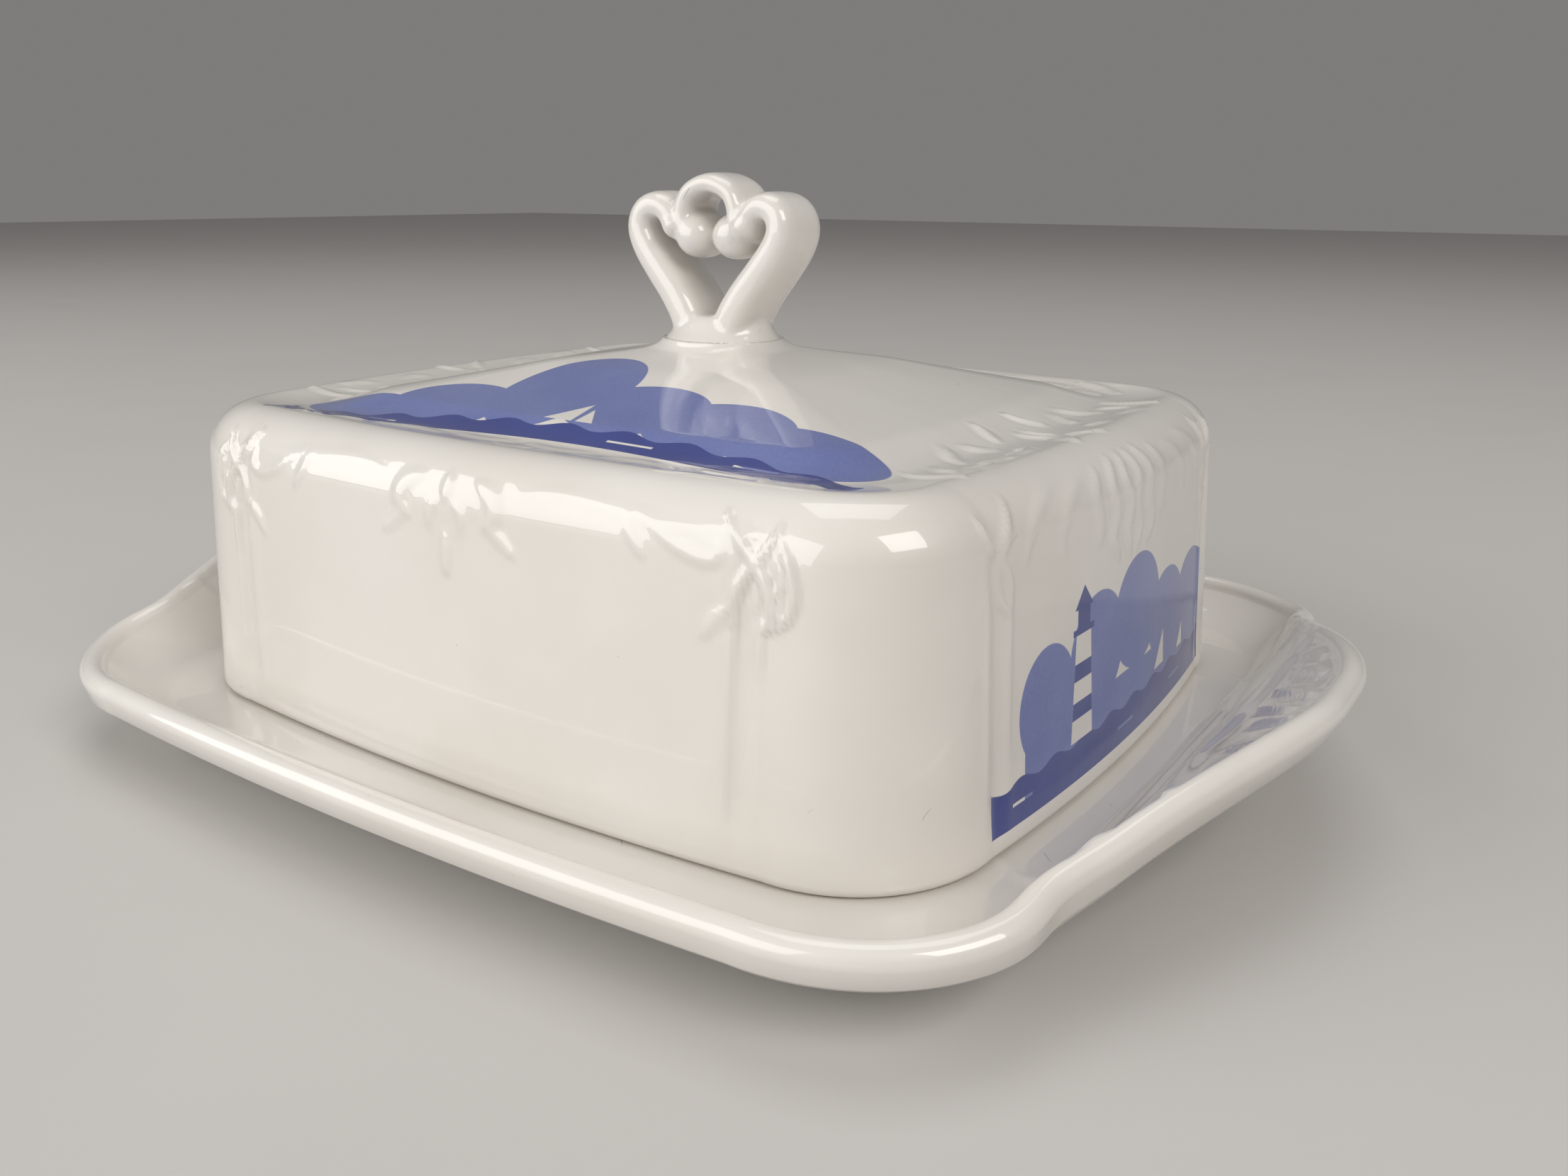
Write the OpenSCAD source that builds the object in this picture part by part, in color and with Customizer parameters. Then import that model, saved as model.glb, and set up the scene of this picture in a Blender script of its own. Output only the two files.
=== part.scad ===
// Covered butter dish in glazed porcelain: a shallow tray with a moulded lug at
// each end, a tall lid that stands on the tray's floor, and a scrolled heart
// knob luted to the top of the lid. Millimetres, +Z up, origin on the surface
// that the tray stands on, below the middle of the dish. X runs along the dish.

/* [Tray] */
// How far the tray's rim reaches out past its floor at each end, without the lug
end_reach = 9.6; // [8:0.1:24]
// How far the tray's rim reaches out past its floor along each side
side_reach = 10.8; // [7:0.1:18]
// Corner radius of the tray's rim
tray_corner_r = 30; // [26:1:44]
// How far each lug stands out past the end of the tray
lug_out = 12.7; // [6:0.1:16]
// Width of a lug across the end of the tray, half way down its sides
lug_w = 60; // [48:1:76]
// How far the rim sweeps up from the long sides to the middle of each lug
lug_rise = 11; // [4:0.5:14]
// Height of the rim above the table, along the long sides
rim_h = 15.5; // [14:0.5:22]
// Thickness of the tray's floor
floor_t = 4.5; // [3.5:0.25:6]
// Thickness of the tray's wall and lip
tray_wall = 4; // [3:0.25:5]
// Height of the foot ring
foot_h = 4; // [3:0.25:6]
// Width of the foot ring's ground face
foot_w = 3.5; // [2.5:0.25:5]

/* [Lid] */
// Length of the lid between its end faces, without their bow
lid_l = 143; // [125:1:150]
// Width of the lid between its long faces, without their bow
lid_w = 123; // [108:1:128]
// Radius of the lid's upright corners
lid_corner_r = 21; // [16:1:28]
// How far each face bows out between its corners
face_bow = 2.4; // [1:0.1:4]
// Height of the lid's wall up to its shoulder
wall_h = 47; // [38:1:60]
// Rise of the domed top above the shoulder
dome_rise = 9.5; // [6:0.5:16]
// Thickness of the lid's wall
lid_wall = 4; // [3:0.25:5]
// How far each face leans in over the height of the wall
lean = 2.6; // [1:0.1:4]
// Radius of the shoulder between wall and top
shoulder_r = 7.5; // [5:0.5:9]

/* [Knob] */
// Width of the heart across its two lobes
heart_w = 33.6; // [26:0.2:41]
// Height of the knob above the dome
knob_h = 26; // [22:1:32]
// Depth of the knob from front to back
knob_d = 13; // [10:0.5:16]
// Thickness of the knob's arms
arm_t = 5.2; // [4.4:0.2:5.8]
// Radius of the small scroll ends
scroll_r = 2.9; // [2.4:0.1:3.2]

/* [Fit] */
// Gap between the tray's floor and the closed lid
seat_gap = 0.05; // [0.02:0.01:0.2]
// Room on the tray's floor around the closed lid
floor_margin = 5; // [3:0.5:7]

/* [Hidden] */

corner_steps = 8;                        // facets in a quarter turn of an outline
side_steps = 10;                         // facets along each side of an outline
floor_z = foot_h + floor_t;              // top of the tray's floor
seat_z = floor_z + seat_gap;             // underside of the closed lid
top_z = seat_z + wall_h + dome_rise;     // crown of the dome, where the knob stands
floor_l = lid_l / 2 + face_bow + floor_margin;   // half length of the tray's floor
floor_w = lid_w / 2 + face_bow + floor_margin;   // half width of the tray's floor
half_l = floor_l + end_reach;                    // half length of the rim, without lugs
half_w = floor_w + side_reach;                   // half width of the rim
lug_fade = 52;                           // length of a lug's flank along the rim
sweep_w = 84;                            // width of the part of the end that sweeps up
sweep_fade = 67;                         // length over which it sweeps up
notch_y = 55;                            // place of the dent at each shoulder of a lug
notch_d = 1.6;                           // depth of that dent
lip_r = tray_wall / 2;
side_bow = 2.4;                          // bow of the rim between its corners
foot_inset = 13;                         // foot ring's outside, in from the floor's edge

// Outline helpers -----------------------------------------------------------

function smooth(t) = let (u = max(0, min(1, t))) u * u * (3 - 2 * u);
function lerp(a, b, t) = a + (b - a) * t;

// One corner of a rounded rectangle, anticlockwise, in quadrant q = 0 to 3.
function corner_points(hx, hy, r, q) =
    let (sx = (q == 0 || q == 3) ? 1 : -1, sy = (q < 2) ? 1 : -1)
    [for (i = [0 : corner_steps])
        let (a = 90 * q + 90 * i / corner_steps)
        [sx * (hx - r) + r * cos(a), sy * (hy - r) + r * sin(a)]];

// The side that follows corner q, bowed outwards by bow, without its end points.
function side_points(hx, hy, r, q, bow) =
    let (along_x = (q % 2) == 0,
         half = (along_x ? hx : hy) - r,
         sign = (q == 0 || q == 3) ? 1 : -1,
         out = (q == 0 || q == 1) ? 1 : -1)
    [for (i = [1 : side_steps - 1])
        let (t = 1 - 2 * i / side_steps, b = bow * (1 - t * t))
        along_x ? [sign * half * t, sign * (hy + b)]
                : [-out * (hx + b), out * half * t]];

// Whole outline: four corners and four sides, anticlockwise from the +X side.
function outline(hx, hy, r, bow = 0) =
    [for (q = [0 : 3])
        each concat(corner_points(hx, hy, r, q), side_points(hx, hy, r, q, bow))];

function ring(points, z) = [for (p = points) [p[0], p[1], z]];
function scaled_to(points, hx, hy, t) =
    [for (p = points)
        let (a = atan2(p[1] / hy, p[0] / hx))
        [lerp(p[0], hx * cos(a), t), lerp(p[1], hy * sin(a), t)]];

// Closed solid through a list of rings with the same number of points each.
module skin(rings) {
    n = len(rings[0]);
    last = len(rings) - 1;
    polyhedron(
        points = [for (r = rings) each r],
        faces = concat(
            [[for (i = [n - 1 : -1 : 0]) i]],
            [for (k = [0 : last - 1], i = [0 : n - 1])
                let (j = (i + 1) % n)
                [k * n + i, (k + 1) * n + j, (k + 1) * n + i]],
            [for (k = [0 : last - 1], i = [0 : n - 1])
                let (j = (i + 1) % n)
                [k * n + i, k * n + j, (k + 1) * n + j]],
            [[for (i = [0 : n - 1]) last * n + i]]),
        convexity = 6);
}

// Tray ------------------------------------------------------------------------

// How much of the lug's length the rim has at a place y across the tray.
function lug_share(y) = smooth((lug_w / 2 + lug_fade / 2 - abs(y)) / lug_fade);

// How near a place is to an end of the tray, 0 along the long sides and 1 at an end.
function at_end(p) = smooth((abs(p[0]) - 45) / 35);

// Tray outline set in from the rim. share is how much of the lug it takes.
function tray_outline(inset, share) =
    [for (p = outline(half_l - inset, half_w - inset, tray_corner_r - inset, side_bow))
        [p[0] + sign(p[0]) * share * (lug_out * lug_share(p[1]) * smooth(abs(p[0]) / (half_l / 2))
            - notch_d * exp(-pow((abs(p[1]) - notch_y) / 5.6, 2)) * at_end(p)), p[1]]];

// Ring of the tray: height z plus a share of the sweep up to the lugs.
function swept_ring(points, z, share) =
    [for (p = points)
        [p[0], p[1], z + share * lug_rise * at_end(p)
            * smooth((sweep_w / 2 + sweep_fade / 2 - abs(p[1])) / sweep_fade)]];

// Outline of the floor's edge and of the foot ring, set in from the floor's edge.
function floor_outline(inset) =
    outline(floor_l - inset, floor_w - inset, lid_corner_r + floor_margin - inset, 0.4);

// Between the floor's edge (t = 0) and the rim (t = 1).
function wall_outline(t, inset, share) =
    let (a = floor_outline(inset), b = tray_outline(inset, share))
    [for (i = [0 : len(a) - 1]) a[i] + (b[i] - a[i]) * t];

// A floor outline drawn in towards the middle of the dish, for an even sheet there.
function floor_ring(inset, share, z) = ring([for (p = floor_outline(inset)) p * share], z);

module tray() {
    color("ivory")
    skin(concat(
        // floor and the hollow side that rises to the lip
        [for (f = [0.06, 0.35, 0.7]) floor_ring(3, f, floor_z)],
        [floor_ring(3, 1, floor_z)],
        [for (s = [0 : 6])
            let (t = s / 6)
            swept_ring(wall_outline(t, lip_r * 2 * t, t),
                 floor_z + (rim_h - lip_r - floor_z) * pow(t, 1.7), pow(t, 1.7))],
        // rounded lip
        [for (a = [150 : -30 : -30])
            swept_ring(tray_outline(lip_r - lip_r * cos(a), 1), rim_h - lip_r + lip_r * sin(a), 1)],
        // outside: steep below the lip, then turning under to the foot
        [for (s = [1 : 6])
            let (t = s / 6)
            swept_ring(wall_outline(1 - t, foot_inset * t * t, 1 - t),
                 lerp(foot_h, rim_h - lip_r * 2, pow(1 - t, 2)), pow(1 - t, 2.6))],
        // foot ring
        [floor_ring(foot_inset + 1, 1, 0)],
        [floor_ring(foot_inset + 1 + foot_w, 1, 0)],
        [floor_ring(foot_inset + 2 + foot_w, 1, foot_h)],
        [for (f = [0.7, 0.35, 0.06]) floor_ring(foot_inset + 2 + foot_w, f, foot_h)]));
}

// Lid shell ---------------------------------------------------------------------

// Lid outline at a height up the wall (0 to 1), set in by a wall thickness.
function lid_outline(inset, t) =
    let (d = inset + lean * t)
    outline(lid_l / 2 - d, lid_w / 2 - d, lid_corner_r - d, face_bow);

crown_x = 10.2;                            // half length of the flat that carries the knob
crown_y = 9.5;                           // half width of it

// Height of the top as a share of the dome's rise, from the shoulder (0) to the
// crown (1): a shallow valley, a broad even slope and a small step at the crown.
function dome_share(t) =
    -0.10 * sin(180 * min(1, t / 0.3)) + 0.86 * pow(max(0, min(1, (t - 0.15) / 0.75)), 1.15)
        + 0.14 * smooth((t - 0.88) / 0.1);

// Top surface at t, lowered and set in by d.
function top_ring(t, d) =
    let (edge = lid_outline(shoulder_r + d * 0.4, 1))
    ring(scaled_to([for (p = edge) p * lerp(1, 0.13, t)], crown_x, crown_y, smooth((t - 0.7) / 0.3)),
         seat_z + wall_h - d + dome_rise * dome_share(t));

module lid_shell() {
    inner_r = shoulder_r - lid_wall;
    color("ivory")
    skin(concat(
        // outside of the top, crown to border
        [for (t = [1, 0.96, 0.92, 0.88, 0.8, 0.7, 0.6, 0.5, 0.4, 0.3, 0.2, 0.1, 0]) top_ring(t, 0)],
        // shoulder, outside
        [for (a = [75 : -15 : 0])
            ring(lid_outline(shoulder_r - shoulder_r * cos(a), 1 - shoulder_r * (1 - sin(a)) / wall_h),
                 seat_z + wall_h - shoulder_r + shoulder_r * sin(a))],
        // wall, outside, and the rounded edge that stands on the tray
        [for (t = [0.6, 0.35, 0.1]) ring(lid_outline(0, t), seat_z + wall_h * t)],
        [ring(lid_outline(0.1, 0), seat_z + 1.2)],
        [ring(lid_outline(1.2, 0), seat_z)],
        [ring(lid_outline(lid_wall - 1.2, 0), seat_z)],
        [ring(lid_outline(lid_wall - 0.1, 0), seat_z + 1.2)],
        // wall and shoulder, inside
        [for (t = [0.1, 0.45, 0.8]) ring(lid_outline(lid_wall, t), seat_z + wall_h * t)],
        [for (a = [0 : 25 : 75])
            ring(lid_outline(lid_wall + inner_r - inner_r * cos(a), 1),
                 seat_z + wall_h - shoulder_r + inner_r * sin(a))],
        // inside of the top, border to crown
        [for (t = [0, 0.12, 0.24, 0.4, 0.55, 0.7, 0.8, 0.88, 0.94, 1]) top_ring(t, lid_wall)]));
}

// Knob --------------------------------------------------------------------------

heart_x = heart_w / 2 - arm_t / 2;       // centreline of a lobe at its widest
lobe_r = 4.4;                            // bend of the lobe's centreline
arch_t = 3.4;                            // thickness of the arch between the lobes
arch_r = 4.4;                            // bend of the arch's centreline
waist_h = 2.4;                           // height of the narrow neck above the crown
arch_z = knob_h - arch_t / 2 - arch_r;   // centre of the arch's bend
lobe_z = knob_h - 3.1 - arm_t / 2 - lobe_r;      // centre of a lobe's bend
scroll_z = arch_z - 4.4;                 // centre of the scroll ends
scroll_x = scroll_r + 0.6;               // their place, each side of the middle
pad_x = crown_x * 0.94;                  // half length of the knob's foot
pad_y = crown_y * 0.80;                  // half width of it

// Centreline of the right arm: neck, sweep outwards, round the lobe, to the scroll.
arm_path = concat(
    [[3.7, 2.2], [4.8, waist_h + 1.4], [6.6, waist_h + 3.7], [heart_x - 3.3, waist_h + 7.6]],
    [for (a = [-25 : 25 : 125])
        [heart_x - lobe_r + lobe_r * cos(a), lobe_z + lobe_r * sin(a)]],
    [[scroll_x + 1.8, scroll_z + 1.6], [scroll_x, scroll_z]]);

// Centreline of the arch, from one scroll end over to the other.
arch_path = concat(
    [[scroll_x, scroll_z + 0.4]],
    [for (a = [-15 : 21 : 195]) [arch_r * cos(a), arch_z + arch_r * sin(a)]],
    [[-scroll_x, scroll_z + 0.4]]);

// Direction of a path at its point i.
function heading(path, i) =
    let (a = path[max(0, i - 1)], b = path[min(len(path) - 1, i + 1)], v = b - a)
    v / norm(v);

// Section across a path: a bar of thickness t and depth d with rounded edges.
function bar_ring(p, dir, t, d) =
    [for (k = [0 : 15])
        let (a = 360 * k / 16 + 11.25,
             u = sign(cos(a)) * pow(abs(cos(a)), 0.8) * t / 2,
             v = sign(sin(a)) * pow(abs(sin(a)), 0.45) * d / 2)
        [p[0] - dir[1] * u, v, top_z + p[1] + dir[0] * u]];

// Bar along a path; its thickness and depth go from the first value to the last.
module bar(path, t, d) {
    last = len(path) - 1;
    skin([for (i = [0 : last])
        bar_ring(path[i], heading(path, i), lerp(t[0], t[1], i / last), lerp(d[0], d[1], i / last))]);
}

module arm() {
    bar(arm_path, [arm_t, arm_t * 0.72], [knob_d, knob_d - 3]);
    // round scroll end that hangs beside the middle
    translate([scroll_x, 0, top_z + scroll_z])
        rotate([90, 0, 0])
            cylinder(r = scroll_r, h = knob_d - 2, center = true, $fn = 24);
}

// Foot of the knob: a low flared pad that the arms grow out of.
module pad() {
    skin([for (s = [0 : 4])
        let (t = s / 4, f = pow(1 - t, 2))
        [for (k = [0 : 31])
            [cos(-k * 11.25) * lerp(arm_t * 1.3, pad_x, f), sin(-k * 11.25) * lerp(knob_d * 0.46, pad_y, f),
             top_z + waist_h * t]]]);
}

module lid_knob() {
    color("ivory")
    union() {
        arm();
        mirror([1, 0, 0]) arm();
        bar(arch_path, [arch_t, arch_t], [knob_d - 3.5, knob_d - 3.5]);
        pad();
    }
}

tray();
lid_shell();
lid_knob();
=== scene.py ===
# %% [markdown]
# # A covered butter dish in glazed porcelain
# The dish is two loose pots: a shallow tray with a lug at each end, and a tall lid
# that stands on the tray's floor. An open heart of scrolls is stuck on the lid as
# its knob. The engineering model already holds their sizes and how they move. This
# lesson makes the surfaces that one sees: the soft shoulders, the pressed scrolls
# and leaves, the clear glaze, and the blue picture that is fired under it.

# %% The frame and its sizes
import math

import bmesh
import bpy
import numpy as np
from mathutils import Matrix, Vector


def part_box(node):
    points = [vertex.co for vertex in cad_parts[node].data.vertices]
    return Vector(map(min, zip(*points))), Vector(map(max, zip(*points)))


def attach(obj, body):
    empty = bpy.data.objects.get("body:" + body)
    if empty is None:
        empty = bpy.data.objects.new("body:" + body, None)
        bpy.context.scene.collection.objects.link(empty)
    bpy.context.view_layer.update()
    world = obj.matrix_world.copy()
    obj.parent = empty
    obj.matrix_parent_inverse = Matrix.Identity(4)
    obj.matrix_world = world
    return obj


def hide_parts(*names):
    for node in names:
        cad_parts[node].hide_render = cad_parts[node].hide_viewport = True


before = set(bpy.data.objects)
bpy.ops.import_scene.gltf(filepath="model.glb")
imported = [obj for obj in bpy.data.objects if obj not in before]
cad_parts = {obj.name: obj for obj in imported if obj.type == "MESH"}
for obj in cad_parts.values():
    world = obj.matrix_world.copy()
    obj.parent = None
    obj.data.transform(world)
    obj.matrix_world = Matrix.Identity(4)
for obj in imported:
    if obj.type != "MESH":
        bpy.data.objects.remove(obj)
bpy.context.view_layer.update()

MM = 0.001


def box_mm(node):
    """Lowest and highest corner of a CAD node, in millimetres."""
    return [np.array(corner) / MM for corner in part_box(node)]


lid_low, lid_high = box_mm("lid_shell")
tray_high = box_mm("tray")[1]
SEAT = lid_low[2]                 # height of the lid's standing edge
CROWN = lid_high[2]               # height of the flat that carries the knob
print("seat", round(SEAT, 2), "crown", round(CROWN, 2), "rim", round(tray_high[2], 2))

# %% [markdown]
# ## A pot as a stack of rings
# A slip-cast pot is a closed skin of even thickness. One can take a plain sheet of
# squares, roll it into a tube, and press every row of points to one ring of the
# pot. The two edges of the sheet are then welded and the ends are closed. That
# gives clean rows and columns, so all the pressed ornament can follow as small
# moves of the same points. The columns are closer together where there is ornament.


# %% Columns of a four-sided plan
def places(*zones):
    """Places along a line, from zones of (start, end, step) that follow each other."""
    out = [zones[0][0]]
    for start, end, step in zones:
        out += list(np.linspace(start, end, max(1, round((end - start) / step)) + 1)[1:])
    return np.array(out)


class Plan:
    """Columns round a rounded rectangle; the same column is the same place on every ring."""

    def __init__(self, half_long, half_end, along_long, along_end, round_corner):
        """Half lengths of the straight sides, and places from a side's middle and round a corner."""
        arc = round_corner[-1]
        rows = []
        for quarter in range(4):
            sx = 1 if quarter in (0, 3) else -1
            sy = 1 if quarter < 2 else -1
            long_next = quarter % 2 == 0
            for s in round_corner:
                angle = math.radians(90 * quarter) + s / arc * math.pi / 2
                to_long, to_end = (arc - s, s) if long_next else (s, arc - s)
                rows.append((0, sx, sy, math.cos(angle), math.sin(angle), 0,
                             half_long + to_long, half_end + to_end))
            side, half = (along_long, half_long) if long_next else (along_end, half_end)
            both = np.concatenate([side[::-1], -side[1:]])[1:-1]
            turn = 1 if quarter < 2 else -1
            for s in both:
                rows.append((1 if long_next else 2, turn * s / half, turn, 0, 0, s / half,
                             abs(s) if long_next else 999, 999 if long_next else abs(s)))
        table = np.array(rows).T
        self.kind, self.a, self.b, self.cos, self.sin, self.t = table[:6]
        self.from_long, self.from_end = table[6:]
        self.count = len(rows)

    def outline(self, half_x, half_y, radius, bow=0.0):
        """Points of the plan, with straight sides that bow out in their middle."""
        bulge = bow * (1 - self.t ** 2)
        corner_x = self.a * (half_x - radius) + radius * self.cos
        corner_y = self.b * (half_y - radius) + radius * self.sin
        long_x, long_y = self.a * (half_x - radius), self.b * (half_y + bulge)
        end_x, end_y = -self.b * (half_x + bulge), self.a * (half_y - radius)
        x = np.where(self.kind == 0, corner_x, np.where(self.kind == 1, long_x, end_x))
        y = np.where(self.kind == 0, corner_y, np.where(self.kind == 1, long_y, end_y))
        return np.stack([x, y], 1)


# %% Roll a sheet into a closed skin of rings
def at_height(points, z):
    return np.column_stack([points, np.full(len(points), float(z))])


def outward(rings):
    """Unit normals of a grid of rings that runs from the top's middle outwards and down."""
    along = np.roll(rings, -1, axis=1) - np.roll(rings, 1, axis=1)
    down = np.gradient(rings, axis=0)
    n = np.cross(down, along)
    return n / np.maximum(np.linalg.norm(n, axis=2, keepdims=True), 1e-9)


def pot(name, rings, outside):
    """A mesh object from rings in millimetres; outside says how much each ring faces out."""
    count, steps = rings.shape[:2]
    bm = bmesh.new()
    shown = bm.verts.layers.float.new("outside")
    bmesh.ops.create_grid(bm, x_segments=steps, y_segments=count - 1, size=1)
    for v in bm.verts:
        i = round((v.co.x + 1) / 2 * steps) % steps
        k = round((v.co.y + 1) / 2 * (count - 1))
        v.co = Vector(rings[k, i]) * MM
        v[shown] = outside[k]
    rims = [v for v in bm.verts if v.is_boundary]
    bmesh.ops.remove_doubles(bm, verts=rims, dist=0.0005 * MM)
    caps = bmesh.ops.holes_fill(bm, edges=[e for e in bm.edges if e.is_boundary], sides=0)["faces"]
    bmesh.ops.poke(bm, faces=caps)
    bmesh.ops.recalc_face_normals(bm, faces=bm.faces)
    return finished(name, bm)


def finished(name, bm):
    """Puts a bmesh into the scene as a smooth-shaded object at the origin."""
    for face in bm.faces:
        face.smooth = True
    mesh = bpy.data.meshes.new(name)
    bm.to_mesh(mesh)
    bm.free()
    obj = bpy.data.objects.new(name, mesh)
    bpy.context.collection.objects.link(obj)
    triangles = sum(len(p.vertices) - 2 for p in mesh.polygons)
    print(name, len(mesh.vertices), "points", triangles, "triangles")
    return obj


# %% [markdown]
# ## Pressed ornament
# Scrolls and leaves are cut into the plaster mould, so on the pot they stand out by
# about half a millimetre and melt into the wall. Each one is a brush stroke: a
# curve with a width that swells and thins and a rounded height. The pot's points
# move out by the height of the strokes that they lie under.


# %% Strokes
def smooth(t):
    t = np.clip(t, 0, 1)
    return t * t * (3 - 2 * t)


def curve_through(points, count=20):
    """Points on a smooth curve through a few given ones."""
    p = np.array(points, float)
    p = np.vstack([2 * p[0] - p[1], p, 2 * p[-1] - p[-2]])
    out = []
    for s in np.linspace(0, len(p) - 3 - 1e-6, count):
        i, t = int(s) + 1, s % 1
        a, b, c, d = p[i - 1], p[i], p[i + 1], p[min(i + 2, len(p) - 1)]
        out.append(0.5 * (2 * b + (c - a) * t + (2 * a - 5 * b + 4 * c - d) * t * t
                          + (3 * b - a - 3 * c + d) * t ** 3))
    return np.array(out)


def stroke(u, v, points, width, height, taper=0.5):
    """Height over the places u, v of one stroke; taper 0 keeps its full width to the ends."""
    line = curve_through(points) if len(points) > 2 else np.array(points, float)
    near = ((u > line[:, 0].min() - 2 * width) & (u < line[:, 0].max() + 2 * width)
            & (v > line[:, 1].min() - 2 * width) & (v < line[:, 1].max() + 2 * width))
    out = np.zeros(u.shape)
    if not near.any():
        return out
    place = np.column_stack([u[near], v[near]])
    best, where = np.full(len(place), 1e9), np.zeros(len(place))
    for i, (a, b) in enumerate(zip(line, line[1:])):
        span = b - a
        t = np.clip((place - a) @ span / (span @ span), 0, 1)
        d = np.linalg.norm(place - a - t[:, None] * span, axis=1)
        closer = d < best
        best = np.where(closer, d, best)
        where = np.where(closer, (i + t) / (len(line) - 1), where)
    half = width * np.maximum(np.sin(np.pi * np.clip(where, 0.03, 0.97)), 0.05) ** taper
    bump = np.clip(1 - (best / half) ** 2, 0, 1) ** 1.5
    ditch = np.clip(1 - (best / (half * 1.9)) ** 2, 0, 1) ** 2
    out[near] = height * (1.18 * bump - 0.28 * ditch)
    return out


def carve(u, v, strokes):
    """All strokes together: the highest one shows, and ditches show between them."""
    high, low = np.zeros(u.shape), np.zeros(u.shape)
    for s in strokes:
        h = stroke(u, v, *s)
        high, low = np.maximum(high, h), np.minimum(low, h)
    return np.where(high > 0, high, low)


# %% [markdown]
# ## The lid
# The lid is a bell with four faces that bow out a little between rounded corners.
# A shallow upright groove marks where each face meets its corner. The top has a
# soft valley behind its border, and then rises in a broad slope to the small step
# that carries the knob. The inside follows the outside at the thickness of the wall.

# %% Sizes of the lid
BOW, LEAN, WALL = 2.4, 2.6, 4.0
CORNER_R, SHOULDER_R, DOME_RISE = 21.0, 7.5, 9.5
CROWN_X, CROWN_Y = 10.2, 9.5           # half lengths of the flat under the knob
GROOVE_LONG, GROOVE_END = 47.5, 39.8   # upright grooves, from the middle of a long and an end face
GROOVE_D, GROOVE_W = 0.34, 1.35
WALL_H = CROWN - SEAT - DOME_RISE
HALF_X, HALF_Y = lid_high[0] - BOW, lid_high[1] - BOW
lid_plan = Plan(
    HALF_X - CORNER_R, HALF_Y - CORNER_R,
    places((0, 14, 0.62), (14, 29, 1.0), (29, HALF_X - CORNER_R, 0.56)),
    places((0, 12, 0.7), (12, 27, 1.1), (27, HALF_Y - CORNER_R, 0.6)),
    places((0, 7, 0.6), (7, 26, 1.25), (26, CORNER_R * math.pi / 2, 0.6)))
print("lid wall", round(WALL_H, 2), "high,", lid_plan.count, "columns")


# %% Rings of the lid
def lid_line(inset, t):
    """The lid's plan at a share t of its wall's height, drawn in by inset."""
    d = inset + LEAN * t
    return lid_plan.outline(HALF_X - d, HALF_Y - d, CORNER_R - d, BOW)


def dome_share(t):
    """Height of the top from its border (0) to the crown (1)."""
    slope = max(0.0, min(1.0, (t - 0.15) / 0.75)) ** 1.15
    return (-0.10 * math.sin(math.pi * min(1, t / 0.3)) + 0.86 * slope
            + 0.14 * float(smooth((t - 0.88) / 0.1)))


def top_ring(t, depth):
    edge = lid_line(SHOULDER_R + depth * 0.4, 1) * (1 - 0.87 * t)
    angle = np.arctan2(edge[:, 1] / CROWN_Y, edge[:, 0] / CROWN_X)
    flat = np.stack([CROWN_X * np.cos(angle), CROWN_Y * np.sin(angle)], 1)
    share = float(smooth((t - 0.7) / 0.3))
    return at_height(edge * (1 - share) + flat * share,
                     SEAT + WALL_H - depth + DOME_RISE * dome_share(t))


def shoulder_ring(radius, inset, angle):
    lift = SHOULDER_R - radius * math.sin(angle)
    return at_height(lid_line(inset + radius * (1 - math.cos(angle)), 1 - lift / WALL_H),
                     SEAT + WALL_H - lift)


outer = [top_ring(1, 0) * (f, f, 1) for f in (0.3, 0.8)]
outer += [top_ring(t, 0)
          for t in places((0, 0.36, 0.016), (0.36, 0.86, 0.03), (0.86, 1, 0.012))[::-1]]
outer += [shoulder_ring(SHOULDER_R, 0, a) for a in np.linspace(math.pi / 2, 0, 18)[1:]]
outer += [at_height(lid_line(0, v / WALL_H), SEAT + v)
          for v in places((3, 11, 2.0), (11, 27, 1.3), (27, WALL_H - SHOULDER_R, 0.62))[::-1][1:]]
edge = [at_height(lid_line(1.6 * (1 - math.sin(a)), 0), SEAT + 1.6 * (1 - math.cos(a)))
        for a in np.linspace(math.pi / 2, 0, 6)]
inner_edge = [at_height(lid_line(WALL - 1.4 * (1 - math.sin(a)), 0), SEAT + 1.4 * (1 - math.cos(a)))
              for a in np.linspace(0, math.pi / 2, 5)]
inner = [at_height(lid_line(WALL, v / WALL_H), SEAT + v) for v in (6, 16, 26, 34)]
inner += [shoulder_ring(SHOULDER_R - WALL, WALL, a) for a in np.linspace(0, 1.4, 5)]
inner += [top_ring(t, WALL) for t in np.linspace(0, 1, 15)]
print("lid rings", len(outer), "outside,", len(inner), "inside")

# %% [markdown]
# ## The lid's ornament
# On the long faces a knot of ribbons hangs at each groove with tails that run down
# it. Leaves swing from the knot towards a spray in the middle of the face. The end
# faces carry a taller spray of folds, and leaves lie across the border of the top.
# One half of each pattern is drawn, and the other half mirrors it.

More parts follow.
